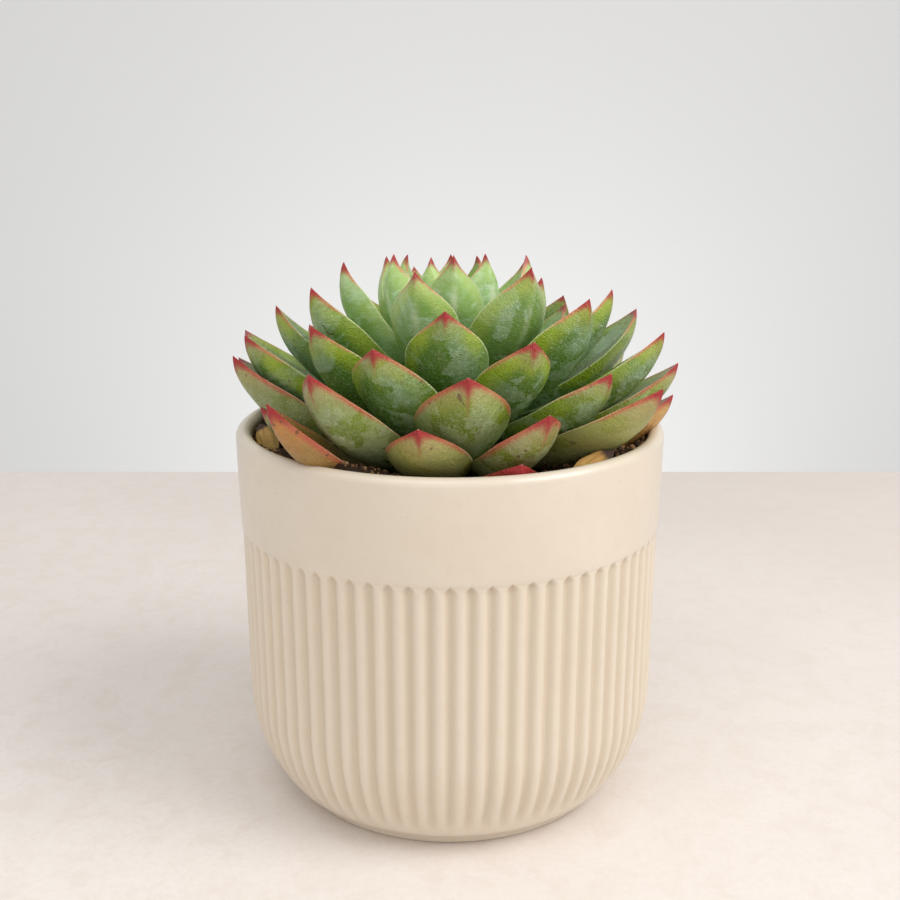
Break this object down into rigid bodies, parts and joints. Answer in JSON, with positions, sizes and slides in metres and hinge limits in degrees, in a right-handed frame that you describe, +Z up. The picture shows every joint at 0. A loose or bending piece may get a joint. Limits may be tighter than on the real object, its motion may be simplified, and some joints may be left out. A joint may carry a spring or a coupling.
{
  "type": "potted echeveria",
  "caption": "Echeveria rosette of fleshy, pointed, red-edged leaves spiralling round a short stem, in potting mix in a round-bellied reeded ceramic pot that stands on its flat foot.",
  "frame": {"origin": "middle of the pot's flat foot", "axes": "+Z up along the pot's axis; -Y is the side seen in the picture's view and +X is to the right in that view. The rosette leans back towards +Y by 6 degrees."},
  "size_m": [0.1363, 0.1335, 0.1678],
  "materials": {
    "cream_glaze": "satin",
    "potting_mix": "matte",
    "stem_bark": "matte",
    "leaf_skin": "satin",
    "withered_skin": "matte"
  },
  "bodies": {
    "root": {"pot": "cream_glaze", "potting_soil": "potting_mix", "stem": "stem_bark", "leaf_01": "leaf_skin", "leaf_02": "leaf_skin", "leaf_03": "leaf_skin", "leaf_04": "leaf_skin", "leaf_05": "leaf_skin", "leaf_06": "leaf_skin", "leaf_07": "leaf_skin", "leaf_08": "leaf_skin", "leaf_09": "leaf_skin", "leaf_10": "leaf_skin", "leaf_11": "leaf_skin", "leaf_12": "leaf_skin", "leaf_13": "leaf_skin", "leaf_14": "leaf_skin", "leaf_15": "leaf_skin", "leaf_16": "leaf_skin", "leaf_17": "leaf_skin", "leaf_18": "leaf_skin", "leaf_19": "leaf_skin", "leaf_20": "leaf_skin", "leaf_21": "leaf_skin", "leaf_22": "leaf_skin", "leaf_23": "leaf_skin", "leaf_24": "leaf_skin", "leaf_25": "leaf_skin", "leaf_26": "leaf_skin", "leaf_27": "leaf_skin", "leaf_28": "leaf_skin", "leaf_29": "leaf_skin", "leaf_30": "leaf_skin", "leaf_31": "leaf_skin", "leaf_32": "leaf_skin", "leaf_33": "leaf_skin", "leaf_34": "leaf_skin", "leaf_35": "leaf_skin", "leaf_36": "leaf_skin", "leaf_37": "leaf_skin", "leaf_38": "leaf_skin", "leaf_39": "leaf_skin", "leaf_40": "leaf_skin", "leaf_41": "leaf_skin", "leaf_42": "leaf_skin", "leaf_43": "leaf_skin", "leaf_44": "leaf_skin", "leaf_45": "leaf_skin", "leaf_46": "leaf_skin", "leaf_47": "leaf_skin", "leaf_48": "leaf_skin", "leaf_49": "leaf_skin", "leaf_50": "leaf_skin", "leaf_51": "leaf_skin", "leaf_52": "leaf_skin", "leaf_53": "leaf_skin", "leaf_54": "leaf_skin", "leaf_55": "leaf_skin", "withered_leaf_1": "withered_skin", "withered_leaf_2": "withered_skin"}
  },
  "joints": []
}
